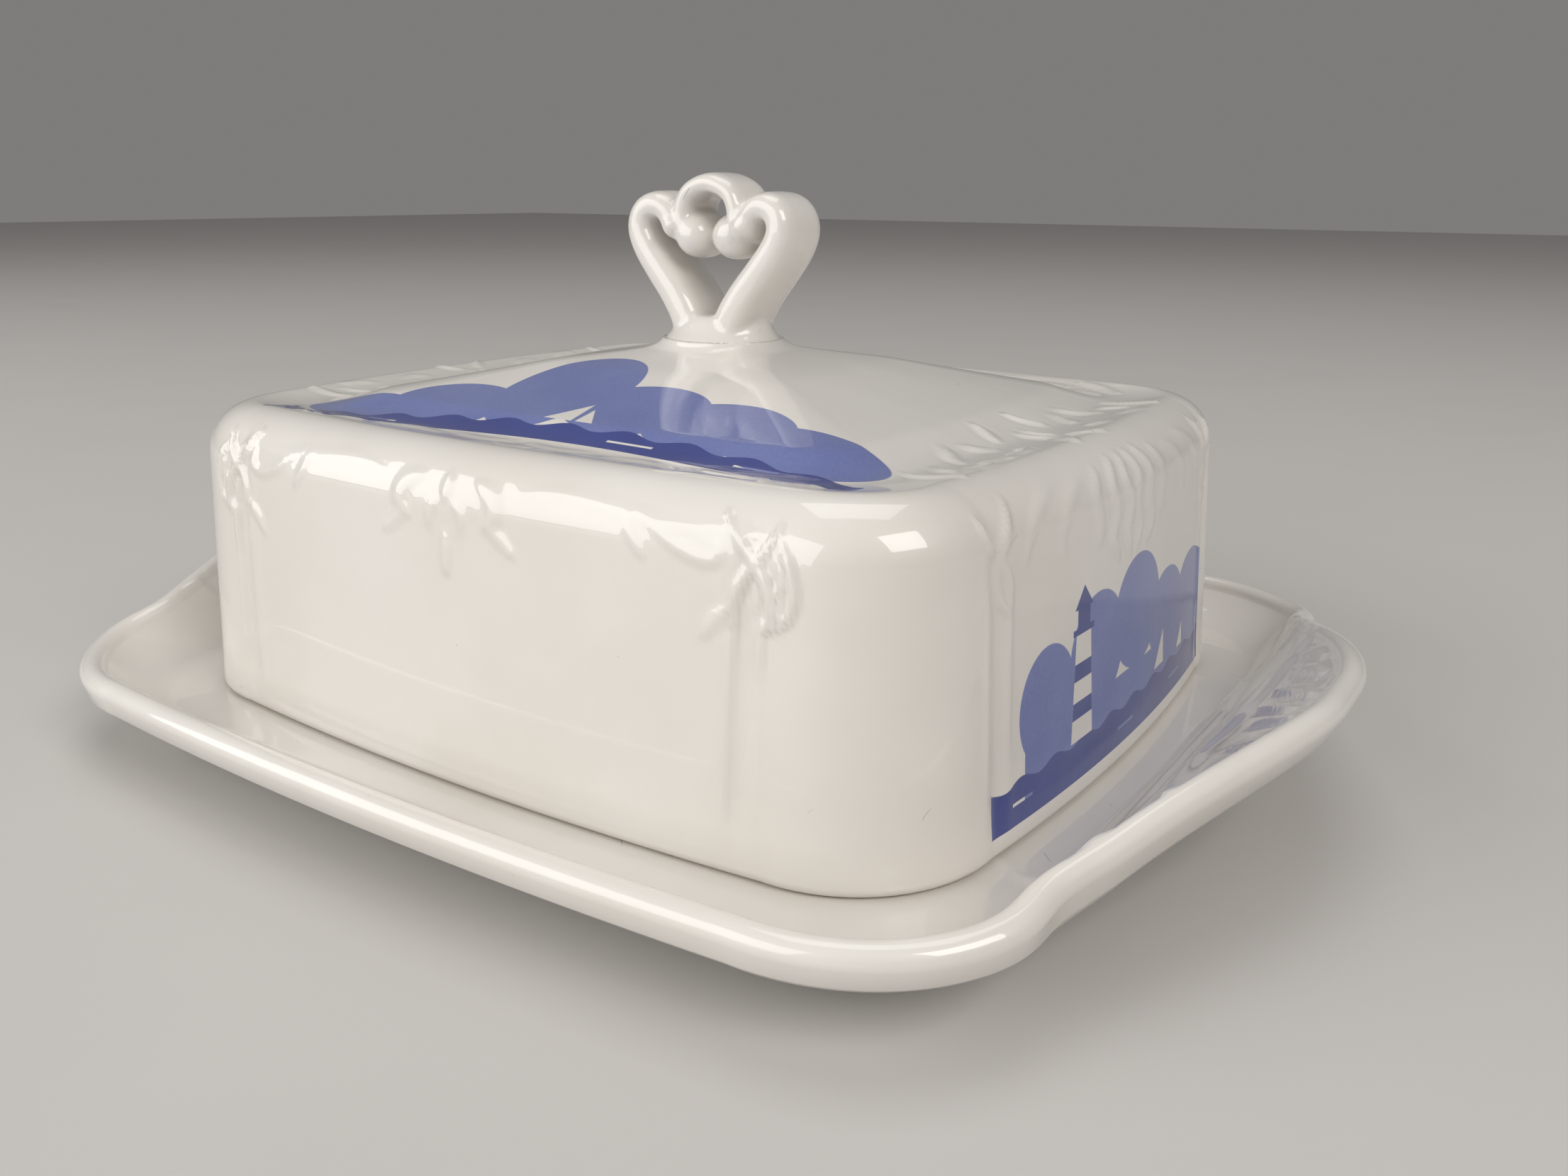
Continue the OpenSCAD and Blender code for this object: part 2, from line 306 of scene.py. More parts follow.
# %% Strokes on the long faces, as (points, width, height)
long_strokes = [
    # knot of ribbons over the groove
    ([(43.6, 44.5), (46.3, 41.8), (48.8, 39.2), (50.6, 36.4), (51.0, 33.6), (50.0, 31.2)], 1.0, 0.72),
    ([(51.2, 44.2), (49.6, 41.0), (47.4, 38.2), (46.0, 35.2), (45.9, 32.0)], 0.95, 0.7),
    ([(51.6, 42.0), (53.2, 40.2), (54.0, 37.0), (53.4, 34.0), (51.2, 31.9)], 0.95, 0.66),
    ([(51.9, 40.2), (52.3, 37.8), (51.6, 36.0)], 0.8, 0.5),
    ([(46.0, 43.4), (47.4, 42.6), (48.8, 42.8)], 0.8, 0.45),
    ([(48.4, 37.6), (49.0, 35.6), (48.6, 33.8)], 0.7, 0.4),
    ([(52.6, 36.6), (52.0, 35.0), (52.4, 33.4)], 0.6, 0.35),
    # tails
    ([(45.9, 34.0), (45.5, 27.0), (45.4, 19.0), (45.5, 8.0)], 0.75, 0.42, 0.25),
    ([(49.7, 33.5), (49.6, 30.0), (49.5, 26.0)], 0.9, 0.5),
    ([(49.6, 30.0), (49.6, 20.0), (49.7, 8.0)], 0.7, 0.2, 0.2),
    ([(45.2, 33.8), (43.4, 32.2), (41.6, 29.6)], 1.4, 0.34),
    # scroll and leaves that lead to the middle
    ([(31.5, 43.6), (35.0, 41.6), (38.6, 39.8), (42.0, 39.0), (44.0, 40.0), (43.4, 41.8)], 1.2, 0.34),
    ([(29.6, 43.4), (31.0, 40.8), (33.2, 38.0)], 1.1, 0.3),
    ([(12.0, 42.6), (18.0, 43.7), (24.0, 43.6), (31.0, 42.9), (37.0, 42.4), (44.0, 42.8)], 1.3, 0.22),
    # spray in the middle
    ([(0.0, 44.0), (0.0, 42.3), (0.0, 40.6)], 1.6, 0.36),
    ([(0.0, 36.2), (0.0, 33.6), (0.0, 30.6)], 1.6, 0.38),
    ([(1.6, 40.6), (3.0, 38.8), (3.0, 36.6)], 1.3, 0.3),
    ([(5.2, 43.4), (8.2, 42.0), (9.0, 39.8), (7.4, 37.8)], 2.2, 0.4),
    ([(7.6, 38.6), (9.8, 37.0), (12.6, 34.8)], 1.5, 0.32),
]

# %% Strokes on the end faces and across the border
end_strokes = [
    ([(1.2, 45.0), (2.6, 42.0), (1.0, 38.6), (2.4, 35.0), (1.0, 31.0)], 1.8, 0.38),
    ([(4.8, 45.0), (7.4, 42.0), (6.4, 38.4), (7.8, 34.8), (5.4, 31.6)], 1.9, 0.36),
    ([(10.4, 44.6), (13.0, 41.4), (12.2, 37.6), (12.6, 34.2)], 1.7, 0.28),
    ([(16.4, 44.0), (20.4, 42.4), (23.4, 39.4), (24.0, 36.0)], 1.6, 0.24),
    ([(24.0, 44.4), (28.4, 43.0), (31.8, 40.4), (33.4, 37.0)], 1.5, 0.24),
    ([(35.0, 44.8), (37.4, 41.4), (39.6, 38.0), (39.2, 34.0), (37.2, 31.6)], 1.4, 0.5),
    ([(43.0, 44.0), (41.2, 40.6), (38.2, 37.6), (36.6, 34.4)], 1.2, 0.45),
    ([(36.9, 34.0), (37.3, 27.0), (37.4, 14.0)], 0.9, 0.24, 0.25),
    ([(42.0, 35.0), (42.1, 26.0), (42.2, 10.0)], 0.9, 0.26, 0.25),
]
# across the border the pattern is (along the side, out from the middle of the top)
end_border = [
    ([(1.1, 54.0), (1.4, 56.4), (0.9, 59.0)], 1.5, 0.42),
    ([(2.0, 60.8), (3.4, 62.4), (4.9, 64.4)], 1.3, 0.34),
    ([(5.0, 48.6), (6.4, 51.4), (8.5, 54.0)], 1.5, 0.42),
    ([(15.9, 52.2), (14.8, 54.2), (12.9, 56.6)], 1.5, 0.42),
    ([(19.3, 51.4), (21.4, 53.4), (24.2, 56.2)], 1.6, 0.42),
    ([(34.3, 53.6), (34.9, 57.4), (34.8, 61.8)], 1.5, 0.38),
    ([(11.0, 59.4), (13.6, 60.8), (16.4, 60.6)], 1.3, 0.3),
    ([(23.0, 60.0), (26.0, 61.4), (29.4, 61.0)], 1.3, 0.3),
    ([(28.0, 54.6), (30.0, 56.8), (30.6, 59.2)], 1.3, 0.3),
]
long_border = [
    ([(1.0, 46.6), (7.0, 47.6), (13.0, 46.8)], 1.5, 0.24),
    ([(15.0, 48.4), (22.0, 47.2), (29.0, 48.6)], 1.5, 0.24),
    ([(31.0, 46.8), (36.0, 48.2), (42.0, 47.4)], 1.5, 0.26),
    ([(43.0, 50.4), (48.0, 48.2), (52.0, 44.6)], 1.6, 0.34),
    ([(4.0, 51.0), (18.0, 50.4), (32.0, 51.2), (44.0, 50.6)], 1.2, 0.14),
]


# %% Press the ornament into the rings
def lid_relief(rings):
    """How far each point of the outside moves along its normal, in millimetres."""
    v = rings[:, :, 2] - SEAT
    from_long = np.broadcast_to(lid_plan.from_long, v.shape)
    from_end = np.broadcast_to(lid_plan.from_end, v.shape)
    wall = smooth((WALL_H - 0.6 - v) / 1.6)
    relief = wall * (carve(from_long, v, long_strokes) + carve(from_end, v, end_strokes))
    # upright grooves beside each corner
    fade = smooth((v - 1.5) / 6) * smooth((WALL_H - 1.0 - v) / 6)
    for place, at in ((from_long, GROOVE_LONG), (from_end, GROOVE_END)):
        relief -= fade * GROOVE_D * np.exp(-((place - at) / GROOVE_W) ** 2)
        relief += fade * 0.12 * np.exp(-((np.abs(place - at) - 2.9) / 1.0) ** 2)
    # border of the top
    x, y = np.abs(rings[:, :, 0]), np.abs(rings[:, :, 1])
    border = smooth((v - WALL_H + 2.0) / 1.4)
    relief += border * (carve(y, x, end_border) + carve(x, y, long_border))
    return relief


outside = np.array(outer + edge)
relief = lid_relief(outside)
pressed = outside + outward(outside) * relief[:, :, None]
shell = np.concatenate([pressed, np.array(inner_edge + inner)])
faces_out = [1.0] * (len(outer) + len(edge)) + [0.0] * (len(inner_edge) + len(inner))
lid = pot("lid_porcelain", shell, faces_out)
print("relief from", round(relief.min(), 2), "to", round(relief.max(), 2), "mm")
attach(lid, "lid")
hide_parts("lid_shell")

# %% [markdown]
# ## The tray
# The tray is a soft-cornered dish with a thick rolled lip. At each end the lip
# sweeps up and out into a broad lug, with a small dent at either shoulder, so that
# the tray can be carried.
# Its floor is flat where the lid stands, with a soft fold around it. Underneath,
# a foot ring lifts it off the table.

# %% Sizes of the tray
FLOOR_T, FOOT_H, LIP_R, SIDE_BOW = 4.5, 4.0, 2.0, 2.4
FLOOR_Z = FLOOR_T + FOOT_H
LUG_OUT, LUG_W, LUG_FADE, LUG_RISE = 12.7, 60.0, 52.0, 11.0
DENT, DENT_AT, DENT_W = 1.6, 55.0, 5.6  # small dent at each shoulder of a lug
SWEEP_EDGE, SWEEP_FADE = 75.5, 67.0     # where the sweep up to a lug starts, and how softly
FLOOR_MARGIN, RIM_R = 5.0, 30.0
RIM_H = tray_high[2] - LUG_RISE
floor_x, floor_y = lid_high[0] + FLOOR_MARGIN, lid_high[1] + FLOOR_MARGIN
rim_x, rim_y = tray_high[0] - LUG_OUT - SIDE_BOW, tray_high[1] - SIDE_BOW
tray_plan = Plan(
    rim_x - RIM_R, rim_y - RIM_R,
    places((0, 46, 1.5), (46, rim_x - RIM_R, 1.0)),
    places((0, 30, 0.6), (30, rim_y - RIM_R, 0.9)),
    places((0, 26, 0.8), (26, RIM_R * math.pi / 2, 1.3)))
print("rim", round(RIM_H, 2), "floor", FLOOR_Z, "half plan", round(rim_x, 1), round(rim_y, 1))


# %% Rings of the tray
def near_end(p):
    return smooth((np.abs(p[:, 0]) - 45) / 35)


def rim_line(inset, share):
    """The rim's plan drawn in by inset, with a share of the lugs."""
    p = tray_plan.outline(rim_x - inset, rim_y - inset, RIM_R - inset, SIDE_BOW)
    y = np.abs(p[:, 1])
    lug = LUG_OUT * smooth((LUG_W / 2 + LUG_FADE / 2 - y) / LUG_FADE)
    lug = lug * smooth(np.abs(p[:, 0]) / (rim_x / 2))
    dent = DENT * np.exp(-((y - DENT_AT) / DENT_W) ** 2) * near_end(p)
    return p + np.stack([np.sign(p[:, 0]) * share * (lug - dent), 0 * y], 1)


def floor_line(inset):
    return tray_plan.outline(floor_x - inset, floor_y - inset, CORNER_R + FLOOR_MARGIN - inset, 0.4)


def side_line(t, inset, share):
    return floor_line(inset) * (1 - t) + rim_line(inset, share) * t


def swept(points, z, share):
    """A ring at height z plus a share of the sweep up to the lugs."""
    lift = LUG_RISE * near_end(points) * smooth((SWEEP_EDGE - np.abs(points[:, 1])) / SWEEP_FADE)
    return np.column_stack([points, z + share * lift])


tray_top = [at_height(floor_line(3) * f, FLOOR_Z) for f in (0.05, 0.3, 0.6, 0.85)]
tray_top += [at_height(floor_line(inset), FLOOR_Z) for inset in (3, 1.5, 0.5)]
tray_top += [swept(side_line(t, 2 * LIP_R * t, t),
                   FLOOR_Z + (RIM_H - LIP_R - FLOOR_Z) * t ** 1.7, t ** 1.7)
             for t in np.linspace(0, 1, 34)]
lip = [swept(rim_line(LIP_R * (1 - math.cos(a)), 1), RIM_H - LIP_R + LIP_R * math.sin(a), 1)
       for a in np.radians(np.linspace(160, -30, 14))]
tray_under = [swept(side_line(1 - t, 13 * t * t, 1 - t),
                    FOOT_H + (RIM_H - 2 * LIP_R - FOOT_H) * (1 - t) ** 2, (1 - t) ** 2.6)
              for t in np.linspace(0.05, 1, 22)]
foot = [at_height(floor_line(inset), z) for inset, z in
        ((13.6, 1.6), (14.0, 0.5), (14.5, 0.0), (17.0, 0.0), (17.6, 0.5), (18.2, 1.8), (19.5, FOOT_H))]
foot += [at_height(floor_line(19.5) * f, FOOT_H) for f in (0.8, 0.5, 0.2, 0.05)]

# %% [markdown]
# ## The tray's ornament
# A small fan of slanting leaves is pressed into each lug, just inside its lip, where
# a thumb would lie. A low fold runs behind the fan, and another one marks the seat
# of the lid on the floor. The other lug is the same one turned half round.

# %% Press the tray's ornament and make it
lug_leaves = [
    ([(29.4, 89.2), (25.4, 92.8), (20.2, 95.4)], 1.5, 0.45),
    ([(22.1, 90.8), (16.6, 94.8), (10.3, 97.8)], 1.5, 0.7),
    ([(14.6, 90.6), (9.8, 94.6), (1.2, 98.4)], 1.5, 0.75),
    ([(9.2, 89.6), (5.8, 92.6), (-0.6, 95.8)], 1.4, 0.75),
    ([(1.5, 90.8), (-2.4, 94.4), (-8.8, 98.0)], 1.5, 0.7),
    ([(-8.0, 90.2), (-12.4, 93.8), (-18.0, 96.6)], 1.4, 0.5),
]
folds = [
    ([(0.0, 84.2), (9.0, 85.0), (18.0, 86.4), (27.0, 87.6), (36.0, 90.6)], 3.0, 0.4),
    ([(43.0, 84.5), (48.0, 86.8), (52.6, 89.0)], 2.4, 0.45),
    ([(41.8, 75.2), (40.4, 77.6), (37.0, 79.2), (20.0, 80.6), (0.0, 81.0)], 2.2, 0.26, 0.2),
]
top_and_lip = np.array(tray_top + lip)
x, y = top_and_lip[:, :, 0], top_and_lip[:, :, 1]
relief = carve(y * np.sign(x), np.abs(x), lug_leaves) + carve(np.abs(y), np.abs(x), folds)
relief[len(tray_top) + 3:] = 0
pressed = top_and_lip + outward(top_and_lip) * relief[:, :, None]
skin = np.concatenate([pressed, np.array(tray_under + foot)])
tray = pot("tray_porcelain", skin, [1.0] * len(skin))
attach(tray, "base")
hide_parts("tray")

# %% [markdown]
# ## The knob
# The knob is rolled and scrolled clay: two arms rise from one foot, swing out and
# curl in to make a heart, and a small arch bridges their curled ends. The arms are
# straps, deep from front to back. Each is a ring of points that is extruded along
# its path. A voxel remesh then fuses the straps like wet clay, and smoothing
# melts the joints as glaze does.


# %% A strap along a path
def strap(bm, path, thick, deep, count=26, segments=20):
    """Extrudes a rounded bar along a path in the XZ plane; thick and deep are (first, last)."""
    line = curve_through(path, count)
    heading = np.gradient(line, axis=0)
    heading /= np.linalg.norm(heading, axis=1, keepdims=True)
    ring = bmesh.ops.create_circle(bm, cap_ends=True, radius=1, segments=segments)["verts"]
    angles = [math.atan2(v.co.y, v.co.x) for v in ring]
    edges = list({e for v in ring for e in v.link_edges})
    for k, (p, d) in enumerate(zip(line, heading)):
        share = k / (count - 1)
        t = thick[0] + (thick[1] - thick[0]) * share
        w = deep[0] + (deep[1] - deep[0]) * share
        if k:
            grown = bmesh.ops.extrude_edge_only(bm, edges=edges)["geom"]
            ring = [g for g in grown if isinstance(g, bmesh.types.BMVert)]
            edges = [g for g in grown if isinstance(g, bmesh.types.BMEdge)]
        order = ring if k == 0 else match_ring(ring, last)
        for v, a in zip(order, angles):
            across = math.copysign(abs(math.cos(a)) ** 0.8, math.cos(a)) * t / 2
            depth = math.copysign(abs(math.sin(a)) ** 0.55, math.sin(a)) * w / 2
            v.co = Vector((p[0] - d[1] * across, depth, p[1] + d[0] * across)) * MM
        last = order
    bmesh.ops.contextual_create(bm, geom=edges)


def match_ring(ring, last):
    """Puts new points in the order of the ring that they were extruded from."""
    new = set(ring)
    order = []
    for v in last:
        order.append(next(e.other_vert(v) for e in v.link_edges if e.other_vert(v) in new))
    return order


def barrel(bm, x, z, radius, length):
    """A curled end: a fat round roll that lies front to back."""
    ball = bmesh.ops.create_uvsphere(bm, u_segments=28, v_segments=20, radius=1)["verts"]
    for v in ball:
        depth = math.copysign(abs(v.co.z) ** 0.75, v.co.z) * length / 2
        v.co = Vector((x + v.co.x * radius, depth, z + v.co.y * radius)) * MM


# %% The heart and its foot
bm = bmesh.new()
for side in (1, -1):
    arm = [(3.6, -0.9), (4.2, 2.8), (6.7, 6.9), (10.0, 10.8), (12.7, 14.3), (13.9, 17.4),
           (12.9, 20.0), (10.5, 20.9), (8.4, 19.9), (7.4, 17.9)]
    strap(bm, [(side * x, z) for x, z in arm], (6.6, 4.0), (12.6, 10.8))
    barrel(bm, side * 3.7, 16.2, 3.7, 10.8)
    barrel(bm, side * 6.9, 17.7, 2.6, 11.8)
arch = [(-4.9, 17.2), (-5.3, 20.0), (-3.9, 22.9), (0.0, 24.3), (3.9, 22.9), (5.3, 20.0), (4.9, 17.2)]
strap(bm, arch, (3.4, 3.4), (10.2, 10.2))
strap(bm, [(0.0, -0.8), (0.0, 1.2), (0.0, 3.5)], (7.8, 6.8), (12.6, 12.0), 8)
foot_rows = ((10.2, 9.0, -0.6), (9.8, 8.4, 0.2), (9.2, 7.7, 0.9), (8.7, 7.1, 1.8), (8.2, 6.6, 2.7),
             (7.3, 6.1, 3.4), (4.6, 5.5, 3.8), (1.2, 4.9, 3.9))
disc = bmesh.ops.create_circle(bm, cap_ends=True, radius=1, segments=48)["verts"]
turns = [math.atan2(v.co.y, v.co.x) for v in disc]
edges = list({e for v in disc for e in v.link_edges})
for k, (rx, ry, z) in enumerate(foot_rows):
    if k:
        grown = bmesh.ops.extrude_edge_only(bm, edges=edges)["geom"]
        disc = match_ring([g for g in grown if isinstance(g, bmesh.types.BMVert)], disc)
        edges = [g for g in grown if isinstance(g, bmesh.types.BMEdge)]
    for v, a in zip(disc, turns):
        v.co = Vector((rx * math.cos(a), ry * math.sin(a), z)) * MM
bmesh.ops.contextual_create(bm, geom=edges)
bmesh.ops.recalc_face_normals(bm, faces=bm.faces)
bmesh.ops.translate(bm, verts=bm.verts, vec=(0, 0, CROWN * MM))
clay = finished("knob_clay", bm)


# %% Fuse and smooth the clay
SUNK = 0.1       # the knob's underside lies this far inside the crown, in millimetres


def with_modifiers(obj, name):
    """Turns an object with its modifiers into a plain new one."""
    depsgraph = bpy.context.evaluated_depsgraph_get()
    bm = bmesh.new()
    bm.from_mesh(obj.evaluated_get(depsgraph).to_mesh())
    bpy.data.objects.remove(obj)
    for v in bm.verts:
        v.co.z = max(v.co.z, (CROWN - SUNK) * MM)
    return finished(name, bm)


fuse = clay.modifiers.new("fuse", "REMESH")
fuse.mode, fuse.voxel_size = "VOXEL", 0.34 * MM
melt = clay.modifiers.new("melt", "SMOOTH")
melt.factor, melt.iterations = 0.6, 14
knob = with_modifiers(clay, "knob_porcelain")
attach(knob, "lid")
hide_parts("lid_knob")

# %% [markdown]
# ## Writing a material as arithmetic
# A glaze is a recipe of numbers that vary over the surface. Nodes do the sums, but
# they are hard to read as a list. Here a small class wraps one socket, so that an
# ordinary expression on it adds the Math nodes.


# %% The recipe helpers
class Amount:
    """One socket of a recipe, with Python's arithmetic."""

    def __init__(self, recipe, socket):
        self.recipe, self.socket = recipe, socket

    def sum(self, operation, *others, clamp=False):
        return self.recipe.math(operation, self, *others, clamp=clamp)

    def __add__(self, other): return self.sum("ADD", other)
    def __sub__(self, other): return self.sum("SUBTRACT", other)
    def __rsub__(self, other): return self.recipe.math("SUBTRACT", other, self)
    def __mul__(self, other): return self.sum("MULTIPLY", other)
    def __truediv__(self, other): return self.sum("DIVIDE", other)
    def __pow__(self, other): return self.sum("POWER", other)
    def __neg__(self): return self * -1
    __radd__, __rmul__ = __add__, __mul__

    def over(self, other): return self.sum("MAXIMUM", other)
    def under(self, other): return self.sum("MINIMUM", other)
    def size(self): return self.sum("ABSOLUTE")
    def share(self): return self.sum("ADD", 0.0, clamp=True)

    def between(self, low, high):
        """0 at low, 1 at high, with a soft step between."""
        return self.recipe.node("ShaderNodeMapRange", {"interpolation_type": "SMOOTHSTEP"},
                                {0: self, 1: low, 2: high})


class Recipe:
    """A material whose nodes are added by name or by arithmetic."""

    def __init__(self, name):
        self.material = bpy.data.materials.new(name)
        self.material.use_nodes = True
        self.tree = self.material.node_tree
        self.shader = self.tree.nodes["Principled BSDF"]
        self.place = self.node("ShaderNodeTexCoord", {}, {}, "Object")

    def node(self, kind, settings, inputs, output=0):
        made = self.tree.nodes.new(kind)
        for key, value in settings.items():
            setattr(made, key, value)
        for key, value in inputs.items():
            self.feed(made.inputs[key], value)
        return Amount(self, made.outputs[output])

    def feed(self, socket, value):
        if isinstance(value, Amount):
            self.tree.links.new(value.socket, socket)
        else:
            socket.default_value = value

    def math(self, operation, *values, clamp=False):
        return self.node("ShaderNodeMath", {"operation": operation, "use_clamp": clamp},
                         dict(enumerate(values)))

    def blend(self, share, first, second):
        return self.node("ShaderNodeMix", {"data_type": "RGBA"}, {0: share, 6: first, 7: second}, 2)

    def axes(self):
        """The place as three amounts in millimetres."""
        split = self.node("ShaderNodeSeparateXYZ", {}, {0: self.place})
        outs = split.socket.node.outputs
        return [Amount(self, outs[i]) * 1000 for i in range(3)]

    def noise(self, size_mm, detail=2.0, roughness=0.5, distortion=0.0):
        return self.node("ShaderNodeTexNoise", {}, {"Vector": self.place, "Scale": 1000 / size_mm,
                         "Detail": detail, "Roughness": roughness, "Distortion": distortion}, 0)


def ink(depth, edge=0.14):
    """Turns a depth inside a shape, in millimetres, into a crisp mask."""
    return (depth / edge + 0.5).share()


def oval(x, y, cx, cy, rx, ry):
    a, b = (x - cx) / rx, (y - cy) / ry
    return (1 - (a * a + b * b) ** 0.5) * min(rx, ry)


def block(x, y, x0, x1, y0, y1):
    across = (x1 - x0) / 2 - (x - (x0 + x1) / 2).size()
    up = (y1 - y0) / 2 - (y - (y0 + y1) / 2).size()
    return across.under(up)


def line_between(x, y, a, b, width):
    """A straight pen stroke from a to b."""
    dx, dy = b[0] - a[0], b[1] - a[1]
    length = math.hypot(dx, dy)
    dx, dy = dx / length, dy / length
    along = (x - a[0]) * dx + (y - a[1]) * dy
    off = (y - a[1]) * dx - (x - a[0]) * dy
    return (width / 2 - off.size()).under(along).under(length - along)


# %% [markdown]
# ## Clear glaze on warm white porcelain
# The clay is a warm white. A thin glassy coat lies over it, a little wavy where it
# ran, so reflections are sharp but wobble. Years of use leave pits and hair-thin
# dark marks. Where the pot stood in the kiln, its foot is wiped bare and dull.


# %% The glaze
def glaze(name, bare_below):
    """A glazed porcelain recipe; below that height in millimetres the clay is bare."""
    r = Recipe(name)
    x, y, z = r.axes()
    cloud = r.noise(38, 3, 0.55)
    body = r.blend(cloud.between(0.35, 0.7), (0.80, 0.775, 0.735, 1), (0.755, 0.725, 0.68, 1))
    # pits: tiny dark dots, and hairs: short bent strokes scattered by a cell pattern
    cells = r.node("ShaderNodeTexVoronoi", {"feature": "F1"}, {"Vector": r.place, "Scale": 1000 / 10})
    outs = cells.socket.node.outputs
    off = r.node("ShaderNodeVectorMath", {"operation": "SUBTRACT"},
                 {0: r.place, 1: Amount(r, outs["Position"])})
    parts = r.node("ShaderNodeSeparateXYZ", {}, {0: off}).socket.node.outputs
    chance = r.node("ShaderNodeSeparateColor", {}, {0: Amount(r, outs["Color"])}).socket.node.outputs
    u = (Amount(r, parts[0]) + Amount(r, parts[1])) * 710
    w = Amount(r, parts[2]) * 1000
    lean = (Amount(r, chance[0]) - 0.5) * 3
    bend = (Amount(r, chance[1]) - 0.5) * 0.9
    across = (u - w * lean - w * w * bend).size()
    reach = Amount(r, outs["Distance"]) * 10
    hair = ((0.055 - across) / 0.04).share() * ((1.3 - reach) / 0.3).share()
    hair = hair * ink(Amount(r, chance[2]) - 0.6, 0.02)
    pit_cells = r.node("ShaderNodeTexVoronoi", {"feature": "F1"},
                       {"Vector": r.place, "Scale": 1000 / 5.5}, "Distance")
    pit_chance = r.noise(11, 1)
    pit = ((0.028 - pit_cells) / 0.012).share() * pit_chance.between(0.5, 0.62)
    marks = (hair * 0.62).over(pit * 0.55)
    body = r.blend(marks, body, (0.09, 0.075, 0.07, 1))
    bare = 1 - z.between(bare_below, bare_below + 0.5)
    body = r.blend(bare, body, (0.66, 0.62, 0.55, 1))
    wave = r.noise(9, 2, 0.4) * 0.7 + r.noise(2.2, 1, 0.5) * 0.12 + cloud * 1.6
    return r, (x, y, z), body, bare, wave, marks


def fire(r, colour, bare, wave, marks):
    """Sets the shader: colour under a clear coat, matt where the clay is bare."""
    r.feed(r.shader.inputs["Base Color"], colour)
    rough = 0.34 + r.noise(20, 2) * 0.1 + marks * 0.2 + bare * 0.4
    r.feed(r.shader.inputs["Roughness"], rough)
    r.feed(r.shader.inputs["Coat Weight"], 1 - bare)
    r.shader.inputs["Coat Roughness"].default_value = 0.045
    r.shader.inputs["Coat IOR"].default_value = 1.52
    r.shader.inputs["IOR"].default_value = 1.45
    bump = r.node("ShaderNodeBump", {},
                  {"Strength": 0.55, "Distance": 0.00035, "Height": wave - marks * 0.3}, "Normal")
    r.feed(r.shader.inputs["Normal"], bump)
    return r.material


# %% [markdown]
# ## The blue picture
# The picture is a ceramic transfer: flat shapes of two cobalt blues with crisp
# edges, under the glaze. It is a plain seaside pattern, built from ovals, even
# waves and triangles. On the top a bank of cloud stands over a strip of sea with a
# small sailing boat. On one end there is a banded tower by the sea. Each shape is
# a depth in millimetres: positive inside, negative outside. Shapes are joined by
# the larger depth and cut by the smaller one, and the edge falls where it crosses
# zero.


# %% Puffs, waves and triangles
def puffs(x, y, ovals):
    """A cloud of round puffs, each as (x, y, half width, half height)."""
    cloud = oval(x, y, *ovals[0])
    for each in ovals[1:]:
        cloud = cloud.over(oval(x, y, *each))
    return cloud


def waves(r, x, pitch, height):
    """The rise and fall of a row of even waves."""
    return r.math("SINE", x * (2 * math.pi / pitch)) * height


def triangle(x, y, *corners):
    """A triangle; its corners run counter-clockwise."""
    sides = []
    for (x0, y0), (x1, y1) in zip(corners, corners[1:] + corners[:1]):
        length = math.hypot(x1 - x0, y1 - y0)
        sides.append((y - y0) * ((x1 - x0) / length) - (x - x0) * ((y1 - y0) / length))
    return sides[0].under(sides[1]).under(sides[2])


def dashes(x, y, *ends):
    """Short level strokes, each as (first x, last x, y)."""
    strokes = [line_between(x, y, (x0, at), (x1, at), 0.45) for x0, x1, at in ends]
    return strokes[0].over(strokes[1]).over(strokes[2])


# %% Cloud, boat and sea on the top
def top_picture(r, x, y):
    """Masks of light and dark blue on the top's front slope."""
    shore = (x - 10) * (x - 10) * -0.0018 - 44.8
    sea = (y - shore).under(shore + 4.2 + waves(r, x, 11, 0.6) - y).under(54 - x).under(x + 52)
    cloud = puffs(x, y, [(-8, -29, 11, 14), (9, -33, 12, 8.5), (25, -35, 12, 8), (41, -37.5, 12, 7),
                         (-24, -38, 12, 7.5), (-39, -42.5, 12, 5)]).under(y - shore)
    boat = triangle(x, y, (-3.0, -39.4), (2.2, -39.4), (1.6, -33.4))
    boat = boat.over(triangle(x, y, (3.0, -39.4), (6.2, -39.4), (3.0, -35.0)))
    foam = dashes(x, y, (-34, -28, -45.6), (12, 20, -42.8), (34, 41, -43.6))
    return ink(cloud.under(-boat)), ink(sea.under(-foam))


